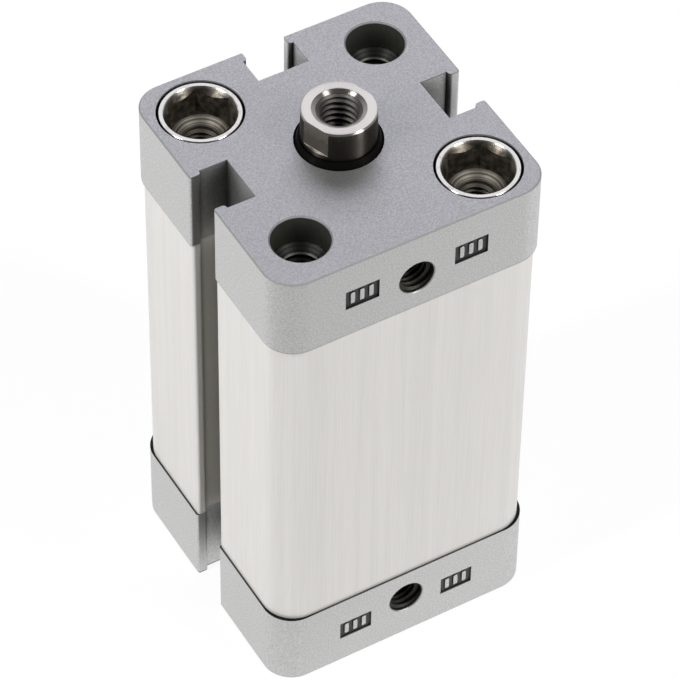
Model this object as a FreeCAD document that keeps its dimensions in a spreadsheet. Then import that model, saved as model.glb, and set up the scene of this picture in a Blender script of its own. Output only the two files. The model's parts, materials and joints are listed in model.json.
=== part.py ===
"""Compact double-acting pneumatic cylinder, 25 mm bore and 40 mm stroke, square covers.

Millimetres, +Z along the piston rod, origin in the middle of the rear cover's outer face,
supply ports towards -Y. Every piece seated in a cover is drawn in that cover's own frame:
z = 0 on the cover's outer face, +z into the cylinder. The front cover is the rear cover's
casting turned half a turn about Y.
"""
import FreeCAD
import Part
import Sketcher
import math
import os

# Driving sizes in millimetres, one cell of the sheet each
SIZES = {
    # Overall
    "stroke": 40.0,
    "base_length": 39.0,
    "cover_width": 40.0,
    "cover_height": 12.6,
    "cover_corner_radius": 4.3,
    "cover_edge_break": 0.2,
    "barrel_inset": 0.25,
    "barrel_corner_radius": 4.6,
    "bore_diameter": 25.0,
    # Sensor slots, one profile through both covers and the barrel
    "slot_depth": 5.75,
    "slot_width": 7.5,
    "slot_mouth": 6.2,
    "slot_lip": 1.65,
    "lip_nose_radius": 0.5,
    "lip_edge_radius": 0.4,
    # Covers
    "spigot_length": 2.0,
    "port_height": 7.4,
    "port_diameter": 5.0,
    "port_thread_length": 7.3,
    "port_chamfer": 0.2,
    "port_drill_diameter": 3.0,
    "passage_diameter": 2.5,
    "passage_wall": 0.95,
    "label_offset": 8.0,
    "label_height": 6.3,
    "label_width": 4.9,
    "label_tall": 3.15,
    "label_depth": 0.3,
    # Hollow tie bolts
    "tie_spacing": 26.0,
    "tie_diameter": 7.7,
    "tie_hole_break": 0.2,
    "tie_head_diameter": 10.9,
    "tie_head_height": 6.85,
    "tie_head_recess": 0.15,
    "tie_head_chamfer": 0.06,
    "tie_rim_diameter": 9.8,
    "tie_rim_sink": 1.05,
    "tie_predrill_diameter": 7.7,
    "tie_hex_width": 8.0,
    "tie_tip_recess": 4.3,
    "tie_tip_sink": 1.15,
    "mount_thread_diameter": 5.0,
    "mount_thread_depth": 5.1,
    # Piston rod
    "rod_diameter": 10.0,
    "rod_protrusion": 5.5,
    "rod_end_chamfer": 0.2,
    "rod_flats_width": 9.15,
    "rod_flats_length": 4.0,
    "rod_sink_diameter": 7.2,
    "rod_sink_depth": 0.35,
    "rod_thread_diameter": 6.0,
    "rod_thread_length": 12.0,
    "neck_diameter": 7.0,
    "neck_relief": 0.1,
    # Guide, seal and wiper of the rod in the front cover
    "bush_wall": 0.97,
    "bush_length": 7.0,
    "rod_land": 0.35,
    "seal_groove_depth": 2.0,
    "seal_groove_width": 2.8,
    "wiper_mouth": 0.85,
    "wiper_mouth_depth": 0.8,
    "wiper_groove_depth": 1.9,
    "wiper_groove_width": 2.0,
    "wiper_lip_height": 0.9,
    "wiper_lip_wall": 0.25,
    "groove_land": 0.8,
    # Piston
    "piston_relief": 0.25,
    "band_groove_depth": 1.1,
    "band_width": 1.8,
    "band_gap_angle": 6.0,
    "piston_land": 0.6,
    "piston_groove_depth": 2.9,
    "piston_groove_width": 1.8,
    "flange_relief": 0.8,
    "magnet_diameter": 18.0,
    "magnet_bore": 13.4,
    "magnet_height": 2.0,
    "neck_seal_width": 1.0,
    "screw_diameter": 5.0,
    "screw_length": 6.0,
    "screw_head_diameter": 9.0,
    "screw_head_height": 2.8,
    "screw_hex_width": 4.0,
    "screw_hex_depth": 1.5,
    # End stops and static seals
    "bumper_width": 1.8,
    "bumper_margin": 1.0,
    "bumper_thickness": 2.0,
    "bumper_proud": 0.8,
    "bumper_notch_width": 2.0,
    "bumper_notch_depth": 0.5,
    "cover_seal_width": 1.1,
    "cover_seal_height": 1.0,
    # Clearances
    "running_clearance": 0.04,
    "seat_clearance": 0.05,
    "tie_head_clearance": 0.35,
    "tie_channel_clearance": 0.3,
    "end_gap": 0.1,
}

# Turns about Z in degrees, of the rod's flats and of each bolt's socket
ROD_TURN = 20.0
FRONT_BOLT_TURNS = (10.0, -5.0)
REAR_BOLT_TURNS = (10.0, 25.0)
BUMPER_NOTCHES = 4

# Lengths, places and radii that follow from the driving sizes
BODY_LENGTH = "(Sizes.base_length + Sizes.stroke)"
BARREL_LENGTH = f"({BODY_LENGTH} - 2 * Sizes.cover_height)"
COVER_FACE = "Sizes.cover_width / 2"
BARREL_FACE = f"({COVER_FACE} - Sizes.barrel_inset)"
SPIGOT_END = "(Sizes.cover_height + Sizes.spigot_length)"
STOP_FACE = f"({SPIGOT_END} + Sizes.bumper_proud + Sizes.end_gap)"
PISTON_HALF = f"({BODY_LENGTH} / 2 - {STOP_FACE} - Sizes.stroke / 2)"
PISTON_MIDDLE = f"({STOP_FACE} + {PISTON_HALF})"
BORE_R = "Sizes.bore_diameter / 2"
SPIGOT_R = f"({BORE_R} - Sizes.seat_clearance)"
TIE_PLACE = "Sizes.tie_spacing / 2"
TIE_R = "Sizes.tie_diameter / 2"
TIE_HOLE_R = f"({TIE_R} + Sizes.seat_clearance)"
MOUNT_R = "Sizes.mount_thread_diameter / 2"
ROD_R = "Sizes.rod_diameter / 2"
BUSH_R = f"({ROD_R} + Sizes.running_clearance + Sizes.bush_wall)"
LIP_R = f"({ROD_R} + Sizes.running_clearance)"
PASSAGE_PLACE = f"({BUSH_R} + Sizes.passage_wall + Sizes.passage_diameter / 2)"
BUMPER_R = f"({BORE_R} - Sizes.bumper_margin)"
NECK_R = "Sizes.neck_diameter / 2"
PISTON_BORE_R = f"({NECK_R} + Sizes.running_clearance)"

doc = FreeCAD.newDocument("compact_cylinder")
sheet = doc.addObject("Spreadsheet::Sheet", "Sizes")


def fill_sheet():
    """Writes each driving size into its own cell, with its name as the cell's alias."""
    for row, (name, size) in enumerate(SIZES.items(), start=1):
        sheet.set(f"A{row}", name)
        sheet.set(f"B{row}", str(size))
        sheet.setAlias(f"B{row}", name)
    doc.recompute()


def value(expression):
    """The number that an expression of sheet cells gives now."""
    return float(sheet.evalExpression(expression))


def new_body(label):
    """Empty body that becomes one piece."""
    body = doc.addObject("PartDesign::Body", label)
    body.Label = label
    return body


def origin_feature(body, role):
    """One of the body's own origin planes or axes."""
    return next(f for f in body.Origin.OriginFeatures if f.Role == role)


def new_sketch(body, plane, name, along="0", up="0"):
    """Sketch on an origin plane, moved along the plane's normal and up in the plane."""
    sketch = body.newObject("Sketcher::SketchObject", name)
    sketch.AttachmentSupport = [(origin_feature(body, plane), "")]
    sketch.MapMode = "FlatFace"
    sketch.setExpression("AttachmentOffset.Base.z", along)
    sketch.setExpression("AttachmentOffset.Base.y", up)
    return sketch


def constrain(sketch, kind, targets, expression):
    """Adds one dimension to a sketch and binds it to the sheet."""
    index = sketch.addConstraint(Sketcher.Constraint(kind, *targets, value(expression)))
    sketch.setExpression(f"Constraints[{index}]", expression)


def place_point(sketch, geometry, point, x, y):
    """Fixes a point of a sketch by its distances from the sketch's origin."""
    constrain(sketch, "DistanceX", (-1, 1, geometry, point), x)
    constrain(sketch, "DistanceY", (-1, 1, geometry, point), y)


def draw_circle(sketch, x, y, radius):
    """Circle with its centre and radius bound to the sheet."""
    centre = FreeCAD.Vector(value(x), value(y), 0)
    circle = Part.Circle(centre, FreeCAD.Vector(0, 0, 1), value(radius))
    geometry = sketch.addGeometry(circle, False)
    place_point(sketch, geometry, 3, x, y)
    constrain(sketch, "Radius", (geometry,), radius)


def arc_between(start, end, radius):
    """Short arc that turns left from start to end, and its circle's normal along +Z."""
    chord = end - start
    height = math.sqrt(radius ** 2 - (chord.Length / 2) ** 2)
    left = FreeCAD.Vector(-chord.y, chord.x, 0).normalize()
    centre = (start + end) / 2 + left * height
    first = math.atan2(start.y - centre.y, start.x - centre.x)
    last = math.atan2(end.y - centre.y, end.x - centre.x)
    return Part.ArcOfCircle(Part.Circle(centre, FreeCAD.Vector(0, 0, 1), radius), first, last)


def draw_outline(sketch, corners):
    """Closed outline through corners given as (x, y) expressions.

    A corner (x, y, radius, turn) starts an arc to the next corner that turns left or right.
    """
    points = [FreeCAD.Vector(value(c[0]), value(c[1]), 0) for c in corners]
    ends = []
    for corner, start, end in zip(corners, points, points[1:] + points[:1]):
        if len(corner) == 2:
            ends.append((sketch.addGeometry(Part.LineSegment(start, end), False), 1, 2))
        elif corner[3] == "left":
            arc = arc_between(start, end, value(corner[2]))
            ends.append((sketch.addGeometry(arc, False), 1, 2))
        else:
            arc = arc_between(end, start, value(corner[2]))
            ends.append((sketch.addGeometry(arc, False), 2, 1))
    for (this, _, finish), (after, begin, _) in zip(ends, ends[1:] + ends[:1]):
        sketch.addConstraint(Sketcher.Constraint("Coincident", this, finish, after, begin))
    for corner, (geometry, begin, _) in zip(corners, ends):
        place_point(sketch, geometry, begin, corner[0], corner[1])
        if len(corner) == 4:
            constrain(sketch, "Radius", (geometry,), corner[2])


def rounded_square(sketch, half, radius):
    """Square outline of half width half with rounded corners."""
    near = f"({half} - {radius})"
    draw_outline(sketch, [
        (half, f"-{near}"), (half, near, radius, "left"),
        (near, half), (f"-{near}", half, radius, "left"),
        (f"-{half}", near), (f"-{half}", f"-{near}", radius, "left"),
        (f"-{near}", f"-{half}"), (near, f"-{half}", radius, "left"),
    ])


def rectangle(sketch, left, right, bottom, top):
    """Rectangle between two x and two y expressions."""
    draw_outline(sketch, [(left, bottom), (right, bottom), (right, top), (left, top)])


def hexagon(sketch, width):
    """Regular hexagon of this width across its flats, with corners on the x axis."""
    corner = f"({width} / sqrt(3))"
    half = f"({corner} / 2)"
    flat = f"({width} / 2)"
    draw_outline(sketch, [
        (corner, "0"), (half, flat), (f"-{half}", flat),
        (f"-{corner}", "0"), (f"-{half}", f"-{flat}"), (half, f"-{flat}"),
    ])


def pad(body, name, sketch, length):
    """Adds a sketch carried along its normal."""
    feature = body.newObject("PartDesign::Pad", name)
    feature.Profile = sketch
    feature.setExpression("Length", length)
    doc.recompute()


def revolve(body, name, sketch, angle="360"):
    """Adds a sketch turned about its own vertical axis."""
    feature = body.newObject("PartDesign::Revolution", name)
    feature.Profile = sketch
    feature.ReferenceAxis = (sketch, ["V_Axis"])
    feature.setExpression("Angle", angle)
    doc.recompute()


def finish_cut(body, feature, volume_before):
    """Recomputes a cut and stops the build if it took nothing away."""
    doc.recompute()
    if body.Shape.Volume >= volume_before:
        raise ValueError(f"{feature.Name} of {body.Label} cuts nothing")
    return feature


def pocket(body, name, sketch, depth=None, along_normal=False):
    """Cuts a sketch into the body, right through where no depth is given."""
    before = body.Shape.Volume
    feature = body.newObject("PartDesign::Pocket", name)
    feature.Profile = sketch
    feature.Reversed = along_normal
    if depth is None:
        feature.Type = "ThroughAll"
    else:
        feature.setExpression("Length", depth)
    return finish_cut(body, feature, before)


def groove(body, name, sketch, axis):
    """Cuts a sketch turned about one of its own axes."""
    before = body.Shape.Volume
    feature = body.newObject("PartDesign::Groove", name)
    feature.Profile = sketch
    feature.ReferenceAxis = (sketch, [axis])
    feature.Angle = 360
    return finish_cut(body, feature, before)


def polar_pattern(body, name, original, angle, count):
    """Repeats a cut about the body's Z axis."""
    before = body.Shape.Volume
    pattern = body.newObject("PartDesign::PolarPattern", name)
    pattern.Originals = [original]
    pattern.Axis = (origin_feature(body, "Z_Axis"), [""])
    pattern.Angle = angle
    pattern.Occurrences = count
    body.Tip = pattern
    return finish_cut(body, pattern, before)


def edge_names(shape, wanted):
    """Names of the edges of a shape that the test wanted holds for."""
    return [f"Edge{i}" for i, edge in enumerate(shape.Edges, start=1) if wanted(edge)]


def outer_edges(shape, height):
    """Names of the edges round the outside of the flat face at this height."""
    def is_level(box):
        return abs(box.ZMin - height) + abs(box.ZMax - height) < 1e-6

    face = max((f for f in shape.Faces if is_level(f.BoundBox)), key=lambda f: f.Area)
    around = face.OuterWire.Edges
    return edge_names(shape, lambda edge: any(edge.isSame(other) for other in around))


def round_edges(shape, height, radius):
    """Names of the full circles of this radius that lie at this height."""
    return edge_names(shape, lambda edge: (
        edge.Curve.TypeId == "Part::GeomCircle"
        and abs(edge.Curve.Radius - radius) < 1e-6
        and abs(edge.BoundBox.ZMax - height) + abs(edge.BoundBox.ZMin - height) < 1e-6
    ))


def break_edges(body, name, base, edges, size):
    """Chamfers some edges of a body's last feature."""
    before = body.Shape.Volume
    chamfer = body.newObject("PartDesign::Chamfer", name)
    chamfer.Base = (base, edges)
    chamfer.setExpression("Size", size)
    return finish_cut(body, chamfer, before)


def ring(label, inner, outer, low, high):
    """Plain ring between two radii and two heights."""
    body = new_body(label)
    sketch = new_sketch(body, "XZ_Plane", f"{label}_section")
    rectangle(sketch, inner, outer, low, high)
    revolve(body, f"{label}_turned", sketch)
    return body


def turned(label, corners, angle="360"):
    """Piece turned about Z from a closed section of (radius, height) corners."""
    body = new_body(label)
    sketch = new_sketch(body, "XZ_Plane", f"{label}_section")
    draw_outline(sketch, corners)
    revolve(body, f"{label}_turned", sketch, angle)
    return body


def put_in_front(body):
    """Places a piece drawn in a cover's frame into the front cover."""
    body.Placement.Rotation = FreeCAD.Rotation(FreeCAD.Vector(0, 1, 0), 180)
    body.setExpression("Placement.Base.z", BODY_LENGTH)


def cut_sensor_slots(body, label, face):
    """Cuts the lipped sensor slots into the +X, +Y and -X faces, which stand off the axis by face."""
    mouth = "(Sizes.slot_mouth / 2)"
    half = "(Sizes.slot_width / 2)"
    outside = f"({face} + Sizes.slot_lip)"
    floor = f"({COVER_FACE} - Sizes.slot_depth)"
    back = f"({COVER_FACE} - Sizes.slot_lip)"
    edge, nose = "Sizes.lip_edge_radius", "Sizes.lip_nose_radius"
    sketch = new_sketch(body, "XY_Plane", f"{label}_slot")
    draw_outline(sketch, [
        (outside, f"{mouth} + {edge}"),
        (face, f"{mouth} + {edge}", edge, "right"),
        (f"{face} - {edge}", mouth),
        (f"{back} + {nose}", mouth, nose, "right"),
        (back, f"{mouth} + {nose}"),
        (back, half),
        (floor, half),
        (floor, f"-{half}"),
        (back, f"-{half}"),
        (back, f"-({mouth} + {nose})", nose, "right"),
        (f"{back} + {nose}", f"-{mouth}"),
        (f"{face} - {edge}", f"-{mouth}", edge, "right"),
        (face, f"-({mouth} + {edge})"),
        (outside, f"-({mouth} + {edge})"),
    ])
    slot = pocket(body, f"{label}_first_slot", sketch, along_normal=True)
    polar_pattern(body, f"{label}_slots", slot, 180, 3)


def cover_casting(label):
    """Square end cover without its middle: slots, bolt seats, port with air passage, label pads."""
    body = new_body(label)
    block = new_sketch(body, "XY_Plane", f"{label}_outline")
    rounded_square(block, COVER_FACE, "Sizes.cover_corner_radius")
    pad(body, f"{label}_block", block, "Sizes.cover_height")

    solid = body.Tip
    break_edges(body, f"{label}_edge_break", solid, outer_edges(solid.Shape, 0), "Sizes.cover_edge_break")
    cut_sensor_slots(body, label, COVER_FACE)

    spigot = new_sketch(body, "XY_Plane", f"{label}_spigot_circle", "Sizes.cover_height")
    draw_circle(spigot, "0", "0", SPIGOT_R)
    pad(body, f"{label}_spigot", spigot, "Sizes.spigot_length")

    holes = new_sketch(body, "XY_Plane", f"{label}_tie_circles")
    for x in (TIE_PLACE, f"-{TIE_PLACE}"):
        for y in (TIE_PLACE, f"-{TIE_PLACE}"):
            draw_circle(holes, x, y, TIE_HOLE_R)
    pocket(body, f"{label}_tie_holes", holes, along_normal=True)

    seats = new_sketch(body, "XY_Plane", f"{label}_head_circles")
    for place in (TIE_PLACE, f"-{TIE_PLACE}"):
        draw_circle(seats, place, place, "Sizes.tie_head_diameter / 2 + Sizes.tie_head_clearance")
    seat_depth = "Sizes.tie_head_recess + Sizes.tie_head_height"
    seated = pocket(body, f"{label}_head_seats", seats, seat_depth, along_normal=True)
    mouths = round_edges(seated.Shape, 0, value(TIE_HOLE_R))
    break_edges(body, f"{label}_hole_break", seated, mouths, "Sizes.tie_hole_break")

    cut_port(body, label)

    labels = new_sketch(body, "XZ_Plane", f"{label}_label_rectangles", COVER_FACE)
    low = "Sizes.label_height - Sizes.label_tall / 2"
    high = "Sizes.label_height + Sizes.label_tall / 2"
    near = "(Sizes.label_offset - Sizes.label_width / 2)"
    far = "(Sizes.label_offset + Sizes.label_width / 2)"
    rectangle(labels, near, far, low, high)
    rectangle(labels, f"-{far}", f"-{near}", low, high)
    pocket(body, f"{label}_label_pads", labels, "Sizes.label_depth")

    stop = new_sketch(body, "XY_Plane", f"{label}_bumper_circles", SPIGOT_END)
    draw_circle(stop, "0", "0", f"{BUMPER_R} + Sizes.seat_clearance")
    draw_circle(stop, "0", "0", f"{BUMPER_R} - Sizes.bumper_width - Sizes.seat_clearance")
    pocket(body, f"{label}_bumper_groove", stop, "Sizes.bumper_thickness - Sizes.bumper_proud")
    return body


def cut_port(body, label):
    """Cuts the chamfered port towards -Y, its drill, and the passage from there to the spigot's face."""
    port_r = "Sizes.port_diameter / 2"
    drill_r = "(Sizes.port_drill_diameter / 2)"
    thread_start = f"(-{COVER_FACE} + Sizes.port_chamfer)"
    thread_end = f"({thread_start} + Sizes.port_thread_length)"
    section = new_sketch(body, "YZ_Plane", f"{label}_port_section", up="Sizes.port_height")
    draw_outline(section, [
        (f"-{COVER_FACE}", "0"),
        (f"-{COVER_FACE}", f"{port_r} + Sizes.port_chamfer"),
        (thread_start, port_r),
        (thread_end, port_r),
        (thread_end, drill_r),
        (f"-{PASSAGE_PLACE}", drill_r),
        (f"-{PASSAGE_PLACE} + {drill_r} / 2", "0"),
    ])
    groove(body, f"{label}_port", section, "H_Axis")

    passage = new_sketch(body, "XY_Plane", f"{label}_passage_circle", SPIGOT_END)
    draw_circle(passage, "0", f"-{PASSAGE_PLACE}", "Sizes.passage_diameter / 2")
    pocket(body, f"{label}_passage", passage, f"{SPIGOT_END} - Sizes.port_height")


def rear_cover():
    """Rear cover, with a pocket that takes the piston screw's head when the rod is in."""
    body = cover_casting("rear_cover")
    circle = new_sketch(body, "XY_Plane", "rear_cover_screw_circle", SPIGOT_END)
    draw_circle(circle, "0", "0", "Sizes.screw_head_diameter / 2 + 1")
    reach = "Sizes.screw_head_height - Sizes.bumper_proud"
    pocket(body, "rear_cover_screw_pocket", circle, reach)
    return body


# Heights in the front cover, from its outer face inwards
WIPER_START = "Sizes.wiper_mouth_depth"
WIPER_END = f"({WIPER_START} + Sizes.wiper_groove_width)"
SEAL_START = f"({WIPER_END} + Sizes.groove_land)"
SEAL_END = f"({SEAL_START} + Sizes.seal_groove_width)"
BUSH_START = f"({SPIGOT_END} - Sizes.bush_length - Sizes.wiper_mouth_depth)"
WIPER_R = f"({ROD_R} + Sizes.wiper_groove_depth)"
SEAL_R = f"({ROD_R} + Sizes.seal_groove_depth)"
MOUTH_R = f"({ROD_R} + Sizes.wiper_mouth)"
LAND_R = f"({ROD_R} + Sizes.rod_land)"


def front_cover():
    """Front cover, bored through for the rod with grooves for its wiper, seal and bush."""
    body = cover_casting("front_cover")
    section = new_sketch(body, "XZ_Plane", "front_cover_rod_section")
    draw_outline(section, [
        ("0", "0"), (MOUTH_R, "0"), (MOUTH_R, WIPER_START),
        (WIPER_R, WIPER_START), (WIPER_R, WIPER_END), (LAND_R, WIPER_END),
        (LAND_R, SEAL_START), (SEAL_R, SEAL_START), (SEAL_R, SEAL_END),
        (LAND_R, SEAL_END), (LAND_R, BUSH_START), (BUSH_R, BUSH_START),
        (BUSH_R, SPIGOT_END), ("0", SPIGOT_END),
    ])
    groove(body, "front_cover_rod_bore", section, "V_Axis")
    put_in_front(body)
    return body


def barrel():
    """Drawn barrel: rounded square with the bore, four bolt channels, sensor slots and seal seats."""
    body = new_body("barrel")
    section = new_sketch(body, "XY_Plane", "barrel_section")
    rounded_square(section, BARREL_FACE, "Sizes.barrel_corner_radius")
    draw_circle(section, "0", "0", BORE_R)
    for x in (TIE_PLACE, f"-{TIE_PLACE}"):
        for y in (TIE_PLACE, f"-{TIE_PLACE}"):
            draw_circle(section, x, y, f"{TIE_R} + Sizes.tie_channel_clearance")
    pad(body, "barrel_drawn", section, BARREL_LENGTH)
    cut_sensor_slots(body, "barrel", BARREL_FACE)
    seat_r = f"{SPIGOT_R} + Sizes.cover_seal_width + 2 * Sizes.seat_clearance"
    for end, height, inwards in (("rear", "0", True), ("front", BARREL_LENGTH, False)):
        seat = new_sketch(body, "XY_Plane", f"barrel_{end}_seat_circle", height)
        draw_circle(seat, "0", "0", seat_r)
        pocket(body, f"barrel_{end}_seat", seat, "Sizes.cover_seal_height", along_normal=inwards)
    body.setExpression("Placement.Base.z", "Sizes.cover_height")
    return body


def piston_rod():
    """Rod with wrench flats and a countersunk female thread in front, and the neck that carries the piston."""
    length = f"({BODY_LENGTH} + Sizes.rod_protrusion - {PISTON_MIDDLE} - {PISTON_HALF})"
    neck = f"(2 * {PISTON_HALF} - Sizes.neck_relief)"
    thread_r = "Sizes.rod_thread_diameter / 2"
    thread_top = f"({length} - Sizes.rod_sink_depth)"
    thread_foot = f"({thread_top} - Sizes.rod_thread_length)"
    screw_r = "(Sizes.screw_diameter / 2 + Sizes.seat_clearance)"
    screw_top = f"(-{neck} + Sizes.screw_length + Sizes.screw_diameter / 2)"
    body = turned("piston_rod", [
        ("0", screw_top),
        (screw_r, screw_top),
        (screw_r, f"-{neck}"),
        (NECK_R, f"-{neck}"),
        (NECK_R, "0"),
        (ROD_R, "0"),
        (ROD_R, f"{length} - Sizes.rod_end_chamfer"),
        (f"{ROD_R} - Sizes.rod_end_chamfer", length),
        ("Sizes.rod_sink_diameter / 2", length),
        (thread_r, thread_top),
        (thread_r, thread_foot),
        ("0", f"{thread_foot} - {thread_r} / 2"),
    ])
    flats = new_sketch(body, "XY_Plane", "piston_rod_flat_rectangles", length)
    beyond = "Sizes.rod_diameter"
    flat = "Sizes.rod_flats_width / 2"
    rectangle(flats, flat, beyond, f"-{beyond}", beyond)
    rectangle(flats, f"-{beyond}", f"-{flat}", f"-{beyond}", beyond)
    pocket(body, "piston_rod_flats", flats, "Sizes.rod_flats_length")
    body.Placement.Rotation = FreeCAD.Rotation(FreeCAD.Vector(0, 0, 1), ROD_TURN)
    body.setExpression("Placement.Base.z", f"{PISTON_MIDDLE} + {PISTON_HALF}")
    return body


# Radii and heights of the piston, from its middle plane outwards
PISTON_R = f"({BORE_R} - Sizes.piston_relief)"
BAND_SEAT_R = f"({BORE_R} - Sizes.band_groove_depth)"
GROOVE_R = f"({BORE_R} - Sizes.piston_groove_depth)"
FLANGE_R = f"({BORE_R} - Sizes.flange_relief)"
BAND_HALF = "(Sizes.band_width / 2)"
GROOVE_START = f"({BAND_HALF} + Sizes.piston_land)"
GROOVE_END = f"({GROOVE_START} + Sizes.piston_groove_width)"
MAGNET_HALF = "(Sizes.magnet_height / 2)"


def piston_half(label, bore_corners):
    """Half piston: magnet pocket and band seat at the middle, seal groove, end flange."""
    clearance = "Sizes.seat_clearance"
    magnet_in = f"(Sizes.magnet_bore / 2 - {clearance})"
    magnet_out = f"(Sizes.magnet_diameter / 2 + {clearance})"
    pocket_end = f"({MAGNET_HALF} + {clearance})"
    return turned(label, [
        (PISTON_BORE_R, "0"),
        (magnet_in, "0"), (magnet_in, pocket_end), (magnet_out, pocket_end), (magnet_out, "0"),
        (BAND_SEAT_R, "0"), (BAND_SEAT_R, BAND_HALF), (PISTON_R, BAND_HALF),
        (PISTON_R, GROOVE_START), (GROOVE_R, GROOVE_START),
        (GROOVE_R, GROOVE_END), (FLANGE_R, GROOVE_END), (FLANGE_R, PISTON_HALF),
        *bore_corners,
    ])


def put_at_piston(body, faces_rear=False):
    """Places a piece drawn about the piston's middle plane, turned over where it faces the rear."""
    if faces_rear:
        body.Placement.Rotation = FreeCAD.Rotation(FreeCAD.Vector(1, 0, 0), 180)
    body.setExpression("Placement.Base.z", PISTON_MIDDLE)
    return body


def piston_seal(label):
    """Lip seal in one piston groove: heel towards the middle, open V towards the end."""
    clearance = "Sizes.seat_clearance"
    inner = f"({GROOVE_R} + {clearance})"
    heel = f"({GROOVE_START} + {clearance})"
    mouth = f"({GROOVE_END} - {clearance})"
    lip = f"({BORE_R} - Sizes.running_clearance)"
    middle = f"(({inner} + {lip}) / 2)"
    return turned(label, [
        (inner, heel), (f"{lip} - Sizes.flange_relief / 2", heel),
        (lip, mouth), (f"{middle} + Sizes.flange_relief / 2", mouth),
        (middle, f"({heel} + {mouth}) / 2"), (f"{middle} - Sizes.flange_relief / 2", mouth),
        (inner, mouth),
    ])


def piston_pieces():
    """The piston's two halves with their seals, guide band, magnet, neck seal and screw."""
    clearance = "Sizes.seat_clearance"
    seat_r = f"({NECK_R} + Sizes.neck_seal_width + {clearance})"
    seat_foot = f"({PISTON_HALF} - Sizes.neck_seal_width)"
    front = piston_half("piston_front", [
        (seat_r, PISTON_HALF), (seat_r, seat_foot), (PISTON_BORE_R, seat_foot),
    ])
    rear = piston_half("piston_rear", [(PISTON_BORE_R, PISTON_HALF)])
    neck_seal = ring(
        "piston_neck_seal",
        f"{NECK_R} + {clearance}", f"{NECK_R} + Sizes.neck_seal_width",
        f"{seat_foot} + {clearance}", f"{PISTON_HALF} - {clearance}",
    )
    magnet = ring(
        "magnet_ring", "Sizes.magnet_bore / 2", "Sizes.magnet_diameter / 2",
        f"-{MAGNET_HALF}", MAGNET_HALF,
    )
    edge = f"({BAND_HALF} - {clearance})"
    inner = f"({BAND_SEAT_R} + {clearance})"
    outer = f"({BORE_R} - Sizes.running_clearance)"
    band = turned(
        "guide_band",
        [(inner, f"-{edge}"), (outer, f"-{edge}"), (outer, edge), (inner, edge)],
        "360 - Sizes.band_gap_angle",
    )
    pieces = [put_at_piston(piece) for piece in (front, neck_seal, magnet, band)]
    pieces.append(put_at_piston(piston_seal("piston_seal_front")))
    pieces.append(put_at_piston(rear, faces_rear=True))
    pieces.append(put_at_piston(piston_seal("piston_seal_rear"), faces_rear=True))
    return pieces


def piston_screw():
    """Low-head socket screw that clamps the piston on the rod's neck."""
    head = "Sizes.screw_head_height"
    shank_r = "Sizes.screw_diameter / 2"
    head_r = "Sizes.screw_head_diameter / 2"
    body = turned("piston_screw", [
        ("0", f"-{head}"), (head_r, f"-{head}"), (head_r, "0"),
        (shank_r, "0"), (shank_r, "Sizes.screw_length"), ("0", "Sizes.screw_length"),
    ])
    socket = new_sketch(body, "XY_Plane", "piston_screw_hexagon", f"-{head}")
    hexagon(socket, "Sizes.screw_hex_width")
    pocket(body, "piston_screw_socket", socket, "Sizes.screw_hex_depth", along_normal=True)
    body.setExpression("Placement.Base.z", STOP_FACE)
    return body


def rod_guides():
    """Bush, lip seal and wiper that ride on the rod in the front cover."""
    clearance = "Sizes.seat_clearance"
    bush = ring("rod_bush", LIP_R, BUSH_R, BUSH_START, f"{BUSH_START} + Sizes.bush_length")

    inner = LAND_R
    outer = f"({SEAL_R} - {clearance})"
    heel = f"({SEAL_START} + {clearance})"
    mouth = f"({SEAL_END} - {clearance})"
    middle = f"(({inner} + {outer}) / 2)"
    seal = turned("rod_seal", [
        (inner, heel), (outer, heel), (outer, mouth),
        (f"{middle} + Sizes.rod_land", mouth), (middle, f"({heel} + {mouth}) / 2"),
        (f"{middle} - Sizes.rod_land", mouth), (LIP_R, mouth),
    ])

    wiper_r = f"({WIPER_R} - {clearance})"
    neck_r = f"({MOUTH_R} - {clearance})"
    top = f"({WIPER_START} + {clearance})"
    foot = f"({WIPER_END} - {clearance})"
    lip = f"({WIPER_START} / 2)"
    tip = "-Sizes.wiper_lip_height"
    wiper = turned("rod_wiper", [
        (LIP_R, tip), (f"{LIP_R} + Sizes.wiper_lip_wall", tip), (neck_r, lip), (neck_r, top),
        (wiper_r, top), (wiper_r, foot), (LAND_R, foot), (LAND_R, top), (LIP_R, lip),
    ])
    pieces = [bush, seal, wiper]
    for piece in pieces:
        put_in_front(piece)
    return pieces


def bumper(label):
    """Elastic stop ring in a cover's spigot, with notches that let the air across it."""
    inner = f"({BUMPER_R} - Sizes.bumper_width)"
    top = f"({SPIGOT_END} + Sizes.bumper_proud)"
    body = ring(label, inner, BUMPER_R, f"{top} - Sizes.bumper_thickness", top)
    notch = new_sketch(body, "XY_Plane", f"{label}_notch_rectangle", top)
    half = "Sizes.bumper_notch_width / 2"
    rectangle(notch, "0", BORE_R, f"-{half}", half)
    first = pocket(body, f"{label}_first_notch", notch, "Sizes.bumper_notch_depth")
    polar_pattern(body, f"{label}_notches", first, 360, BUMPER_NOTCHES)
    return body


def cover_seal(label):
    """Static seal ring round the root of a cover's spigot."""
    inner = f"({SPIGOT_R} + Sizes.seat_clearance)"
    outer = f"{inner} + Sizes.cover_seal_width"
    high = "Sizes.cover_height + Sizes.cover_seal_height - Sizes.seat_clearance"
    return ring(label, inner, outer, "Sizes.cover_height", high)


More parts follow.
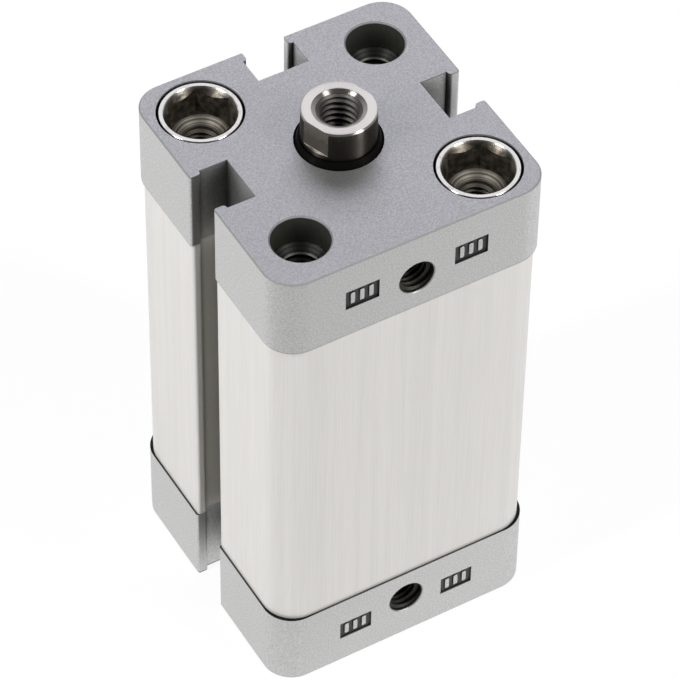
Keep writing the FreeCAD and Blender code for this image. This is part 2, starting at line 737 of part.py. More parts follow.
def tie_bolt(label):
    """Hollow tie bolt: z = 0 on the head's rim, shank towards -z, a mounting thread in both ends."""
    length = f"({BODY_LENGTH} - Sizes.tie_head_recess - Sizes.tie_tip_recess)"
    head_r = "Sizes.tie_head_diameter / 2"
    rim_r = "(Sizes.tie_rim_diameter / 2)"
    drill_r = "(Sizes.tie_predrill_diameter / 2)"
    thread_top = "(Sizes.mount_thread_depth - Sizes.tie_head_recess)"
    socket = f"({thread_top} - ({drill_r} - {MOUNT_R}) / sqrt(3))"
    body = turned(label, [
        (rim_r, "0"),
        (f"{head_r} - Sizes.tie_head_chamfer", "0"),
        (head_r, "-Sizes.tie_head_chamfer"),
        (head_r, "-Sizes.tie_head_height"),
        (TIE_R, "-Sizes.tie_head_height"),
        (TIE_R, f"-{length}"),
        (f"{MOUNT_R} + Sizes.tie_tip_sink", f"-{length}"),
        (MOUNT_R, f"-{length} + Sizes.tie_tip_sink"),
        (MOUNT_R, f"-{thread_top}"),
        (drill_r, f"-{socket}"),
        (drill_r, "-Sizes.tie_rim_sink"),
    ])
    hex_sketch = new_sketch(body, "XY_Plane", f"{label}_hexagon")
    hexagon(hex_sketch, "Sizes.tie_hex_width")
    pocket(body, f"{label}_socket", hex_sketch, socket)
    return body


def tie_bolts(label, turns, faces_rear):
    """Pair of tie bolts on opposite corners, with their heads in the front or the rear cover."""
    bolts = []
    for number, (side, turn) in enumerate(zip(("-", ""), turns), start=1):
        bolt = tie_bolt(f"{label}_{number}")
        over = FreeCAD.Rotation(FreeCAD.Vector(1, 0, 0), 180 if faces_rear else 0)
        bolt.Placement.Rotation = FreeCAD.Rotation(FreeCAD.Vector(0, 0, 1), turn) * over
        opposite = side if faces_rear else ("" if side else "-")
        bolt.setExpression("Placement.Base.x", f"{side}{TIE_PLACE}")
        bolt.setExpression("Placement.Base.y", f"{opposite}{TIE_PLACE}")
        rim = "Sizes.tie_head_recess"
        bolt.setExpression("Placement.Base.z", rim if faces_rear else f"{BODY_LENGTH} - {rim}")
        bolts.append(bolt)
    pair = doc.addObject("Part::Compound", label)
    pair.Label = label
    pair.Links = bolts
    return pair


def build():
    """Every piece of the cylinder, in the order in which it goes together."""
    front_bumper = bumper("front_bumper")
    front_cover_seal = cover_seal("front_cover_seal")
    for piece in (front_bumper, front_cover_seal):
        put_in_front(piece)
    return [
        rear_cover(), bumper("rear_bumper"), cover_seal("rear_cover_seal"), barrel(),
        *piston_pieces(), piston_screw(), piston_rod(),
        front_cover(), front_bumper, front_cover_seal, *rod_guides(),
        tie_bolts("front_tie_bolts", FRONT_BOLT_TURNS, faces_rear=False),
        tie_bolts("rear_tie_bolts", REAR_BOLT_TURNS, faces_rear=True),
    ]


def check_document(pieces):
    """Stops the build if an object failed or a piece is empty or not a valid solid."""
    failed = [o.Name for o in doc.Objects if {"Invalid", "Error"} & set(o.State)]
    bad = [p.Label for p in pieces if p.Shape.isNull() or not p.Shape.isValid() or not p.Shape.Solids]
    if failed or bad:
        raise ValueError(f"failed objects {failed}, bad pieces {bad}")


def write_parts(pieces):
    """Writes each piece's solids to its own file."""
    os.makedirs("parts", exist_ok=True)
    for piece in pieces:
        piece.Shape.exportStep(f"parts/{piece.Label}.step")
        print(f"{piece.Label}: {len(piece.Shape.Solids)} solid, {piece.Shape.Volume:.1f} mm3")


fill_sheet()
all_pieces = build()
doc.recompute()
check_document(all_pieces)
write_parts(all_pieces)
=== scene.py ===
"""Looks of a compact pneumatic cylinder: finishes, threads, pad ribs and the studio around it.

Metres, +Z along the piston rod, supply ports towards -Y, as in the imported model.
"""
import json
import logging
import math
from dataclasses import dataclass
from enum import Enum
from typing import Any, Callable, Mapping, Sequence

import bpy
import numpy as np
from mathutils import Matrix


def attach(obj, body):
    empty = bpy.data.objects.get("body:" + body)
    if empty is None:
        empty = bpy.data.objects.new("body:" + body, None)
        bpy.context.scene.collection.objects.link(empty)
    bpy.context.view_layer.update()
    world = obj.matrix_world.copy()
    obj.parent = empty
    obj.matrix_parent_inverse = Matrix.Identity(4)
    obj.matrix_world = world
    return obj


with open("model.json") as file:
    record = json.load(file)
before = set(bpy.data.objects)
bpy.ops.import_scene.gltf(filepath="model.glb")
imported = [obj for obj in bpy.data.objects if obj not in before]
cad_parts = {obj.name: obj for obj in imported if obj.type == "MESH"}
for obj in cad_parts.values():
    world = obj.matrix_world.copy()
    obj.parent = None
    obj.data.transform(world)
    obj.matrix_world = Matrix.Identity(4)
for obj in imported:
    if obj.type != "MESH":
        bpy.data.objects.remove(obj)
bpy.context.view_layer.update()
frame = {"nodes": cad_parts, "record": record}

MM = 0.001
FULL_TURN = 2 * math.pi
MIDDLE = 39.5 * MM  # height of the body's middle
BOLT_PLACE = 13.0 * MM  # of each bolt's axis, along X and along Y
LOG = logging.getLogger("compact_cylinder")

Colour = tuple[float, float, float]
Point = tuple[float, float, float]
Range = tuple[float, float]
Surface = tuple[np.ndarray, np.ndarray]
Material = bpy.types.Material
Node = bpy.types.Node
Socket = bpy.types.NodeSocket
Tree = bpy.types.NodeTree
Number = float | Socket
Tone = Colour | Socket
Place = tuple[Socket, Socket, Socket]
Sockets = Mapping[str, Socket]


class Body(str, Enum):
    """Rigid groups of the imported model."""

    HOUSING = "cylinder_body"
    SEALS = "piston_seals"
    ROD = "piston_and_rod"


class Slot(str, Enum):
    """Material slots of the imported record."""

    COVER = "cover_casting"
    BARREL = "barrel_anodised"
    BOLT = "bolt_nickel"
    ROD = "rod_steel"
    SCREW = "screw_steel"
    SEAL = "seal_rubber"
    BUMPER = "bumper_rubber"
    PISTON = "piston_alloy"
    MAGNET = "magnet_composite"
    BUSH = "bush_bronze"
    BAND = "band_plastic"


class Effect(Enum):
    """Surface effects that several finishes share."""

    GRAIN = "fine_grain"
    RINGS = "lathe_rings"
    # RECESS and CONTACT are ambient-occlusion masks by which finishes paint shade into their colours.
    RECESS = "own_recess"
    CONTACT = "near_contact"
    BAND = "height_band"


class Graph:
    """A node tree with short ways to add, fill and link its nodes."""

    noise_span: Range = (0.3, 0.7)

    def __init__(self, tree: Tree) -> None:
        """Takes over the tree of a material, a world or a shader group, and empties it."""
        self.tree = tree
        tree.nodes.clear()

    @property
    def shader(self) -> Node:
        """The Principled shader of a material's tree."""
        return self.tree.nodes["Principled BSDF"]

    def add(self, kind: str, inputs: Mapping[str | int, Any] | None = None, **settings: Any) -> Node:
        """Adds one node.

        Args:
            kind: Node type, such as "ShaderNodeMath".
            inputs: Value or output socket for each input, by name or number.
            settings: Properties of the node itself.

        Returns:
            The new node.
        """
        node = self.tree.nodes.new(kind)
        for name, setting in settings.items():
            setattr(node, name, setting)
        for key, source in (inputs or {}).items():
            if isinstance(source, Socket):
                self.link(source, node, key)
            else:
                node.inputs[key].default_value = source
        return node

    def link(self, source: Socket, node: Node, key: str | int) -> None:
        """Links a socket to an input of a node, by name or number."""
        self.tree.links.new(source, node.inputs[key])

    def place(self) -> Socket:
        """Gives the object's own coordinates."""
        return self.add("ShaderNodeTexCoord").outputs["Object"]

    def stretched(self, scale: Point) -> Socket:
        """Gives the object's own coordinates, multiplied along X, Y and Z."""
        factors = {0: self.place(), 1: scale}
        return self.add("ShaderNodeVectorMath", factors, operation="MULTIPLY").outputs[0]

    def axes(self) -> Place:
        """Gives the object's own X, Y and Z."""
        return tuple(self.add("ShaderNodeSeparateXYZ", {0: self.place()}).outputs)

    def math(self, operation: str, *values: Number) -> Socket:
        """Adds a math node with one to three numbers or sockets, and gives its result."""
        return self.add("ShaderNodeMath", dict(enumerate(values)), operation=operation).outputs[0]

    def squares(self, first: Socket, second: Socket) -> Socket:
        """Gives the sum of the squares of two values."""
        return self.math("MULTIPLY_ADD", first, first, self.math("MULTIPLY", second, second))

    def between(self, value: Socket, low: Number, high: Number) -> Socket:
        """Gives 1 where a value lies between two limits, 0 elsewhere."""
        above = self.math("GREATER_THAN", value, low)
        return self.math("MULTIPLY", above, self.math("LESS_THAN", value, high))

    def ramp(
        self, value: Socket, low: Number, high: Number, start: float = 0.0, end: float = 1.0
    ) -> Socket:
        """Maps a value smoothly from one range to another.

        Args:
            value: Socket that is mapped.
            low: Value that gives start.
            high: Value that gives end.
            start: Result at low.
            end: Result at high.

        Returns:
            The mapped value's socket.
        """
        node = self.add(
            "ShaderNodeMapRange",
            {"Value": value, "From Min": low, "From Max": high, "To Min": start, "To Max": end},
            interpolation_type="SMOOTHSTEP",
        )
        return node.outputs["Result"]

    def noise(self, vector: Socket, scale: Number, detail: float = 2.0, dimensions: str = "3D") -> Socket:
        """Adds a noise, spread over 0 to 1.

        Args:
            vector: Socket of the coordinates.
            scale: Noise cells in a unit of the coordinates.
            detail: Number of finer layers.
            dimensions: How many of the coordinates count.

        Returns:
            The noise's socket.
        """
        inputs = {"Vector": vector, "Scale": scale, "Detail": detail}
        node = self.add("ShaderNodeTexNoise", inputs, noise_dimensions=dimensions)
        return self.ramp(node.outputs[0], *self.noise_span)

    def mix(self, factor: Socket, first: Tone, second: Tone) -> Socket:
        """Mixes two colours.

        Args:
            factor: Socket of the second colour's share.
            first: Colour or socket.
            second: Colour or socket.

        Returns:
            The mixed colour's socket.
        """
        node = self.add("ShaderNodeMix", {0: factor}, data_type="RGBA")
        for number, source in ((6, first), (7, second)):
            if isinstance(source, Socket):
                self.link(source, node, number)
            else:
                node.inputs[number].default_value = (*source, 1.0)
        return node.outputs[2]

    def group(self, effect: Effect, inputs: Mapping[str, float]) -> Sockets:
        """Places a shared effect with values for its inputs, and gives its outputs."""
        return self.add("ShaderNodeGroup", inputs, node_tree=EFFECTS.tree(effect)).outputs

    def band(self, limits: Range) -> Socket:
        """Gives the mask between two heights along Z."""
        return self.group(Effect.BAND, {"Low": limits[0], "High": limits[1]})["Mask"]

    def hollows(self, effect: Effect, reach: float, sky: Range) -> Socket:
        """Gives the mask of a shade effect.

        Args:
            effect: RECESS or CONTACT.
            reach: How far off in metres a surface still shuts off the sky.
            sky: Share of open sky from which the mask is 0, and at which it has risen to 1.

        Returns:
            The mask's socket.
        """
        return self.group(effect, {"Reach": reach, "Open": sky[0], "Shut": sky[1]})["Mask"]


class EffectShelf:
    """Shader groups of the shared effects, each built when a finish first asks for it."""

    fine_detail: float = 3.0
    wide_share: float = 0.06
    sky_samples: int = 8

    def __init__(self) -> None:
        """Starts with no group built."""
        self._trees: dict[Effect, Tree] = {}

    def tree(self, effect: Effect) -> Tree:
        """Gives an effect's group.

        Args:
            effect: Which effect.

        Returns:
            The group, built once.
        """
        if effect not in self._trees:
            builders: dict[Effect, Callable[[], Tree]] = {
                Effect.GRAIN: self._grain,
                Effect.RINGS: self._rings,
                Effect.RECESS: lambda: self._shade(Effect.RECESS),
                Effect.CONTACT: lambda: self._shade(Effect.CONTACT),
                Effect.BAND: self._band,
            }
            self._trees[effect] = builders[effect]()
        return self._trees[effect]

    @staticmethod
    def _start(
        effect: Effect, inputs: Sequence[str], outputs: Sequence[str]
    ) -> tuple[Graph, Sockets, Node]:
        """Makes an empty group with its sockets.

        Args:
            effect: Which effect.
            inputs: Names of the numbers that go in.
            outputs: Names of the numbers that come out.

        Returns:
            The group's graph, the sockets of what goes in and the node for what comes out.
        """
        tree = bpy.data.node_groups.new(effect.value, "ShaderNodeTree")
        for way, names in (("INPUT", inputs), ("OUTPUT", outputs)):
            for name in names:
                tree.interface.new_socket(name, in_out=way, socket_type="NodeSocketFloat")
        graph = Graph(tree)
        return graph, graph.add("NodeGroupInput").outputs, graph.add("NodeGroupOutput")

    def _grain(self) -> Tree:
        """Builds the blasted grain: a fine noise for pits and a wide one for tone.

        Returns:
            The group.
        """
        graph, given, out = self._start(Effect.GRAIN, ("Scale",), ("Fine", "Wide"))
        wide = graph.math("MULTIPLY", given["Scale"], self.wide_share)
        graph.link(graph.noise(graph.place(), given["Scale"], self.fine_detail), out, "Fine")
        graph.link(graph.noise(graph.place(), wide), out, "Wide")
        return graph.tree

    def _rings(self) -> Tree:
        """Builds a lathe tool's marks: a noise of radius and height, with lines round the nearest axis.

        The axes are parallel to Z, at plus and minus Offset along X and along Y.

        Returns:
            The group.
        """
        graph, given, out = self._start(Effect.RINGS, ("Offset", "Scale"), ("Fine", "Radius"))
        x, y, height = graph.axes()
        sides = (graph.math("SUBTRACT", graph.math("ABSOLUTE", side), given["Offset"]) for side in (x, y))
        radius = graph.math("SQRT", graph.squares(*sides))
        pair = graph.add("ShaderNodeCombineXYZ", {0: radius, 1: height})
        graph.link(graph.noise(pair.outputs[0], given["Scale"], dimensions="2D"), out, "Fine")
        graph.link(radius, out, "Radius")
        return graph.tree

    def _shade(self, effect: Effect) -> Tree:
        """Builds hollows: 0 where the open share of sky within Reach is over Open, 1 where under Shut.

        Args:
            effect: RECESS if only the piece itself shuts off the sky, CONTACT if its neighbours do too.

        Returns:
            The group.
        """
        graph, given, out = self._start(effect, ("Reach", "Open", "Shut"), ("Mask",))
        alone = effect is Effect.RECESS
        reach = {"Distance": given["Reach"]}
        sky = graph.add("ShaderNodeAmbientOcclusion", reach, samples=self.sky_samples, only_local=alone)
        graph.link(graph.ramp(sky.outputs["AO"], given["Open"], given["Shut"]), out, "Mask")
        return graph.tree

    def _band(self) -> Tree:
        """Builds a band: 1 between the heights Low and High along Z, 0 outside them.

        Returns:
            The group.
        """
        graph, given, out = self._start(Effect.BAND, ("Low", "High"), ("Mask",))
        height = graph.axes()[2]
        graph.link(graph.between(height, given["Low"], given["High"]), out, "Mask")
        return graph.tree


EFFECTS = EffectShelf()


@dataclass(frozen=True)
class Finish:
    """Base of every finish: a named material with one Principled shader.

    spread is the least and the most change of roughness over the grain, relief the grain's depth.
    """

    name: str
    colour: Colour
    metallic: float
    roughness: float
    gloss: float = 0.5
    spread: Range = (-0.05, 0.05)
    relief: float = 0.004 * MM

    def material(self) -> Material:
        """Builds the material.

        Returns:
            The finished material.
        """
        made = bpy.data.materials.new(self.name)
        made.use_nodes = True
        graph = Graph(made.node_tree)
        shader = graph.add("ShaderNodeBsdfPrincipled", {
            "Metallic": self.metallic,
            "Roughness": self.roughness,
            "Specular IOR Level": self.gloss,
        })
        graph.add("ShaderNodeOutputMaterial", {"Surface": shader.outputs[0]})
        self.dress(graph)
        return made

    def dress(self, graph: Graph) -> None:
        """Links what changes over the surface to the shader.

        Args:
            graph: The material's graph.
        """
        raise NotImplementedError

    def grained(self, graph: Graph, grain: Socket) -> Socket:
        """Gives the roughness, spread over a grain of 0 to 1."""
        least, most = (self.roughness + change for change in self.spread)
        return graph.ramp(grain, 0.0, 1.0, least, most)

    def paint(self, graph: Graph, tone: Socket, rough: Socket, grain: Socket) -> None:
        """Links colour, roughness and the relief of a grain to the shader.

        Args:
            graph: The material's graph.
            tone: Socket of the colour.
            rough: Socket of the roughness.
            grain: Socket of the grain's height, 0 to 1.
        """
        graph.link(tone, graph.shader, "Base Color")
        graph.link(rough, graph.shader, "Roughness")
        bump = graph.add("ShaderNodeBump", {"Height": grain, "Distance": self.relief})
        graph.link(bump.outputs[0], graph.shader, "Normal")


@dataclass(frozen=True)
class CastFinish(Finish):
    """Blasted aluminium casting: fine speckle, painted shade in slots, holes and ports and on the top
    edges, dark seam and label pads.
    """

    relief: float = 0.01 * MM
    grain_scale: float = 4200.0
    dark: Colour = (0.545, 0.542, 0.54)
    # painted shade colour of the recesses and the slot's lips
    deep_shade: Colour = (0.095, 0.095, 0.092)
    # painted shade on the small bevel along the top edges, in place of its glint
    edge_shade: Colour = (0.45, 0.45, 0.45)
    edge_roughness: float = 0.8
    # painted shade in the bolt holes and the counterbores round the heads
    bolt_hole_shade: Colour = (0.19, 0.195, 0.165)
    # painted shade in the ports: near black behind the mouths, mid grey on the bevelled mouths
    port: Colour = (0.05, 0.048, 0.042)
    port_mouth_shade: Colour = (0.42, 0.42, 0.415)
    reach: float = 0.008
    sky: Range = (0.85, 0.4)
    middle: float = MIDDLE
    edges: Range = (0.03928, 0.039497)
    bolt_offset: float = BOLT_PLACE
    bolt_hole: float = 0.0059
    bolt_depth: float = 0.0392
    port_offset: float = 0.0321
    port_hole: float = 0.00275
    port_mouth: float = -0.019995
    port_depth: float = -0.01988
    port_end: float = -0.006
    slot_mouth: float = 0.00315
    slot_lip: float = -0.0183
    # share of painted shade on the slot's lips
    lip_shade_share: float = 0.65
    floor_light: float = 0.012
    seam: Range = (0.01255, 0.06645)
    # dark seam line on the covers' faces that meet the barrel; painted shade makes it darker at the
    # corners
    seam_colour: Colour = (0.11, 0.11, 0.11)
    seam_corner_shade: Colour = (0.02, 0.02, 0.02)
    corner: Range = (0.012, 0.0165)
    pad_colour: Colour = (0.075, 0.075, 0.075)
    pad_floor: Range = (-0.01985, -0.01955)
    pad_span: Range = (0.00555, 0.01045)
    pad_heights: tuple[Range, Range] = ((0.0047, 0.0079), (0.0711, 0.0743))

    def dress(self, graph: Graph) -> None:
        """Speckles the colour, paints shade into recesses, holes, ports and top edges, darkens seam and
        pads, and roughens the surface.

        Args:
            graph: The material's graph.
        """
        x, y, z = place = graph.axes()
        grain = graph.group(Effect.GRAIN, {"Scale": self.grain_scale})["Fine"]
        tone = graph.mix(grain, self.colour, self.dark)
        level = graph.math("ABSOLUTE", graph.math("SUBTRACT", z, self.middle))
        rim = graph.between(level, *self.edges)
        # painted shade on the small bevel along the top edges, in place of its glint
        tone = graph.mix(rim, tone, self.edge_shade)
        # painted shade in the recesses and on the slot's lips
        tone = graph.mix(self._painted_shade_mask(graph, place), tone, self.deep_shade)
        # painted shade in the bolt holes and counterbores below the face
        radius = graph.group(Effect.RINGS, {"Offset": self.bolt_offset})["Radius"]
        hole = graph.math("LESS_THAN", radius, self.bolt_hole)
        bolt_hole_shade = graph.math("MULTIPLY", hole, graph.math("LESS_THAN", level, self.bolt_depth))
        tone = graph.mix(bolt_hole_shade, tone, self.bolt_hole_shade)
        # painted shade in the ports: mid grey on the bevelled mouths, near black behind them
        for mask, colour in zip(self._port_masks(graph, place, level), (self.port_mouth_shade, self.port)):
            tone = graph.mix(mask, tone, colour)
        # dark seam line where the covers meet the barrel, with painted shade darkening it towards the
        # corners
        nearer = graph.math("MINIMUM", *(graph.math("ABSOLUTE", side) for side in (x, y)))
        seam_tone = graph.mix(graph.ramp(nearer, *self.corner), self.seam_colour, self.seam_corner_shade)
        tone = graph.mix(graph.band(self.seam), tone, seam_tone)
        tone = graph.mix(self._pad_mask(graph, place), tone, self.pad_colour)
        blunt = graph.math("MULTIPLY", rim, self.edge_roughness)
        rough = graph.math("MAXIMUM", self.grained(graph, grain), blunt)
        self.paint(graph, tone, rough, grain)

    def _painted_shade_mask(self, graph: Graph, place: Place) -> Socket:
        """Masks where shade is painted: the recesses and the lips of the slot towards -X, fading down to
        the floor's light.

        Args:
            graph: The material's graph.
            place: Sockets of X, Y and Z.

        Returns:
            The mask's socket.
        """
        x, y, z = place
        narrow = graph.math("LESS_THAN", graph.math("ABSOLUTE", y), self.slot_mouth)
        lips = graph.math("MULTIPLY", narrow, graph.math("LESS_THAN", x, self.slot_lip))
        lips = graph.math("MULTIPLY", lips, self.lip_shade_share)
        recess = graph.hollows(Effect.RECESS, self.reach, self.sky)
        raised = graph.ramp(z, 0.0, self.floor_light)
        return graph.math("MULTIPLY", graph.math("MAXIMUM", recess, lips), raised)

    def _port_masks(self, graph: Graph, place: Place, level: Socket) -> list[Socket]:
        """Masks the ports twice: with their bevelled mouths, and only behind the mouths.

        Args:
            graph: The material's graph.
            place: Sockets of X, Y and Z.
            level: Socket of the distance from mid-length.

        Returns:
            The sockets of the two masks.
        """
        x, y, _ = place
        square = graph.squares(x, graph.math("SUBTRACT", level, self.port_offset))
        hole = graph.math("LESS_THAN", square, self.port_hole**2)
        starts = (self.port_mouth, self.port_depth)
        return [graph.math("MULTIPLY", hole, graph.between(y, start, self.port_end)) for start in starts]

    def _pad_mask(self, graph: Graph, place: Place) -> Socket:
        """Masks the floors of the label pads, which lie a little behind the port face.

        Args:
            graph: The material's graph.
            place: Sockets of X, Y and Z.

        Returns:
            The mask's socket.
        """
        x, y, _ = place
        floor = graph.between(y, *self.pad_floor)
        span = graph.between(graph.math("ABSOLUTE", x), *self.pad_span)
        row = graph.math("MAXIMUM", *(graph.band(heights) for heights in self.pad_heights))
        return graph.math("MULTIPLY", graph.math("MULTIPLY", floor, span), row)


@dataclass(frozen=True)
class DrawnFinish(Finish):
    """Drawn and anodised aluminium: satin white, with faint broken hairlines along the barrel.

    hair and streak are noise cells in a metre along X, Y and Z.
    """

    dark: Colour = (0.60, 0.59, 0.56)
    # painted shade colour of the slots and of the thin band next to the covers
    deep_shade: Colour = (0.22, 0.213, 0.175)
    reach: float = 0.008
    sky: Range = (0.85, 0.35)
    middle: float = MIDDLE
    joint_shade: Range = (0.0262, 0.0267)
    joint_shade_share: float = 0.3
    hair: Point = (9000.0, 9000.0, 90.0)
    hair_share: float = 0.18
    streak: Point = (700.0, 700.0, 6.0)
    streak_share: float = 0.16

    def dress(self, graph: Graph) -> None:
        """Draws the lines into colour, roughness and normal, and paints shade into the slots and next to
        the covers.

        Args:
            graph: The material's graph.
        """
        hair, streak = (graph.noise(graph.stretched(cells), 1.0) for cells in (self.hair, self.streak))
        faint = graph.math("MULTIPLY", streak, self.streak_share)
        share = graph.math("MULTIPLY_ADD", hair, self.hair_share, faint)
        tone = graph.mix(share, self.colour, self.dark)
        level = graph.math("ABSOLUTE", graph.math("SUBTRACT", graph.axes()[2], self.middle))
        # painted shade: a thin dark band next to each cover, and the slots' recesses
        joint_shade = graph.ramp(level, *self.joint_shade, 0.0, self.joint_shade_share)
        recess = graph.hollows(Effect.RECESS, self.reach, self.sky)
        tone = graph.mix(graph.math("MAXIMUM", recess, joint_shade), tone, self.deep_shade)
        self.paint(graph, tone, self.grained(graph, hair), hair)


@dataclass(frozen=True)
class PlatedFinish(Finish):
    """Bright nickel plate over turned steel, dull and uneven brown, with painted shade, inside a socket
    or thread.
    """

    relief: float = 0.003 * MM
    # painted shade in the sockets and tips: the colours below stand for shade inside the bolts
    deep_shade: Colour = (0.10, 0.087, 0.07)
    # painted shade on the sockets' walls, uneven by a random noise
    wall_shade: Colour = (0.048, 0.041, 0.031)
    wall_half_shade: Colour = (0.155, 0.136, 0.11)
    # painted shade for the ringed socket floors and for the thread inside
    floor_half_shade: Colour = (0.52, 0.475, 0.40)
    cut: Colour = (0.20, 0.18, 0.15)
    # painted shade for the bolts' tips down the plain holes, lighter on the ring at the thread's mouth
    tip: Colour = (0.05, 0.052, 0.045)
    tip_dark_shade: Colour = (0.018, 0.018, 0.016)
    mouth: Colour = (0.22, 0.212, 0.195)
    # painted shade on the sockets' entry bevels
    bevel_shade: Colour = (0.18, 0.17, 0.153)
    dull: float = 0.44
    hollow_metallic: float = 0.7
    ring_scale: float = 3200.0
    ring_share: float = 0.92
    ring_roughness: float = 0.06
    wear_scale: float = 18000.0
    wear_depth: float = 0.0003
    fade: Range = (0.0002, 0.00055)
    axis_offset: float = BOLT_PLACE
    hexagon: Range = (0.00385, 0.00393)
    thread: Range = (0.00252, 0.00257)
    tip_thread: Range = (0.00252, 0.00255)
    tip_ring: Range = (0.00268, 0.00274)
    bevel: float = 0.00494
    lip: float = 0.00012
    rim: float = 0.03935
    middle: float = MIDDLE

    def dress(self, graph: Graph) -> None:
        """Paints shade onto the sockets' walls and bevels and into the tips, draws tool rings on their
        floors and breaks up the polish.

        Args:
            graph: The material's graph.
        """
        x, y, z = graph.axes()
        rings = graph.group(Effect.RINGS, {"Offset": self.axis_offset, "Scale": self.ring_scale})
        radius, fine = rings["Radius"], rings["Fine"]
        wear = graph.group(Effect.GRAIN, {"Scale": self.wear_scale})["Wide"]
        # painted shade on the sockets' walls, varied at random
        wall = graph.mix(wear, self.wall_shade, self.wall_half_shade)
        level = graph.math("SUBTRACT", z, self.middle)
        depth, under, hollow = self._hollow(graph, radius, level)
        side = graph.math("MULTIPLY", graph.math("MULTIPLY", x, y), level)
        is_tip = graph.math("GREATER_THAN", side, 0.0)
        inner = graph.mix(is_tip, self._socket_tone(graph, rings, wall), self._tip_tone(graph, rings))
        sunk = graph.math("MULTIPLY_ADD", wear, self.wear_depth, depth)
        # painted shade on the entry bevel, fading deeper down into the walls' painted shade
        head = graph.mix(under, self.colour, self.bevel_shade)
        head = graph.mix(graph.ramp(sunk, *self.fade), head, wall)
        shine = graph.ramp(graph.math("ADD", under, hollow), 0.0, 2.0, self.roughness, self.dull)
        rough = graph.math("MULTIPLY_ADD", fine, self.ring_roughness, shine)
        metallic = graph.ramp(hollow, 0.0, 1.0, self.metallic, self.hollow_metallic)
        graph.link(metallic, graph.shader, "Metallic")
        self.paint(graph, graph.mix(hollow, head, inner), rough, fine)

    def _hollow(self, graph: Graph, radius: Socket, level: Socket) -> tuple[Socket, Socket, Socket]:
        """Gives the depth and two masks: below the heads' rims, and in the sockets below the bevel too.

        On the bevel, depth and radius add up to the radius of its mouth; on the hexagon's walls, to more.

        Args:
            graph: The material's graph.
            radius: Socket of the distance from the nearest bolt's axis.
            level: Socket of the height above mid-length.

        Returns:
            The sockets of the depth below the rim and of the two masks.
        """
        depth = graph.math("SUBTRACT", self.rim, graph.math("ABSOLUTE", level))
        under = graph.math("GREATER_THAN", depth, self.lip)
        beyond = graph.math("GREATER_THAN", graph.math("ADD", depth, radius), self.bevel)
        return depth, under, graph.math("MULTIPLY", under, beyond)

    def _socket_tone(self, graph: Graph, rings: Sockets, wall: Socket) -> Socket:
        """Colours the inside of a head with painted shade: thread, ringed floor and the hexagon's walls.

        Args:
            graph: The material's graph.
            rings: Outputs of the tool rings.
            wall: Socket of the walls' colour.

        Returns:
            The colour's socket.
        """
        # painted shade on the floor, ringed by the tool marks, and darker still on the thread
        floor = graph.mix(graph.math("MULTIPLY", rings["Fine"], self.ring_share), self.floor_half_shade, self.deep_shade)
        tone = graph.mix(graph.ramp(rings["Radius"], *self.thread), self.cut, floor)
        return graph.mix(graph.ramp(rings["Radius"], *self.hexagon), tone, wall)

    def _tip_tone(self, graph: Graph, rings: Sockets) -> Socket:
        """Colours a tip with painted shade: thread, bright ring at its mouth and the dark end around it.

        Args:
            graph: The material's graph.
            rings: Outputs of the tool rings.

        Returns:
            The colour's socket.
        """
        # painted shade on the tip: near black on the thread and the end, lighter on the ring at its mouth
        end = graph.mix(rings["Fine"], self.tip, self.tip_dark_shade)
        tone = graph.mix(graph.ramp(rings["Radius"], *self.tip_ring), self.mouth, end)
        return graph.mix(graph.ramp(rings["Radius"], *self.tip_thread), self.tip_dark_shade, tone)


@dataclass(frozen=True)
class GroundFinish(Finish):
    """Ground and polished steel: fine lines round the rod, painted shade near the wiper and in the bore,
    with a bright end face.
    """

    spread: Range = (-0.03, 0.03)
    relief: float = 0.002 * MM
    ring_scale: float = 9000.0
    # painted shade colour of the rod's end near the wiper
    deep_shade: Colour = (0.048, 0.042, 0.037)
    cut: Colour = (0.62, 0.59, 0.55)
    # painted shade in the bore behind the thread
    root: Colour = (0.03, 0.028, 0.026)
    reach: float = 0.02
    sky: Range = (0.95, 0.74)
    stretch: float = 1.0
    stretch_turn: float = 0.25
    face: float = 0.12
    thread: float = 0.00303
    wall: float = 0.00498
    ledge: Range = (0.08046, 0.08054)
    end: Range = (0.08447, 0.0860)
    stub: Range = (0.0775, 0.0860)

    def dress(self, graph: Graph) -> None:
        """Adds the grinding lines, draws the gloss out along the rod, paints shade near the wiper and in
        the bore, and sets off thread and flats.

        Args:
            graph: The material's graph.
        """
        rings = graph.group(Effect.RINGS, {"Offset": 0.0, "Scale": self.ring_scale})
        radius, fine = rings["Radius"], rings["Fine"]
        # painted shade on the rod's end where cover and wiper shut off the sky
        near = graph.hollows(Effect.CONTACT, self.reach, self.sky)
        tone = graph.mix(graph.math("MULTIPLY", near, graph.band(self.stub)), self.colour, self.deep_shade)
        # painted shade in the bore behind the thread
        tone = graph.mix(graph.math("LESS_THAN", radius, self.thread), tone, self.root)
        inside = graph.math("LESS_THAN", radius, self.wall)
        tone = graph.mix(graph.math("MULTIPLY", graph.band(self.ledge), inside), tone, self.cut)
        least, most = self.spread
        base = graph.ramp(graph.band(self.end), 0.0, 1.0, self.roughness + least, self.face)
        rough = graph.math("MULTIPLY_ADD", fine, most - least, base)
        around = graph.add("ShaderNodeTangent", direction_type="RADIAL", axis="Z")
        graph.link(around.outputs[0], graph.shader, "Tangent")
        graph.shader.inputs["Anisotropic"].default_value = self.stretch
        graph.shader.inputs["Anisotropic Rotation"].default_value = self.stretch_turn
        self.paint(graph, tone, rough, fine)


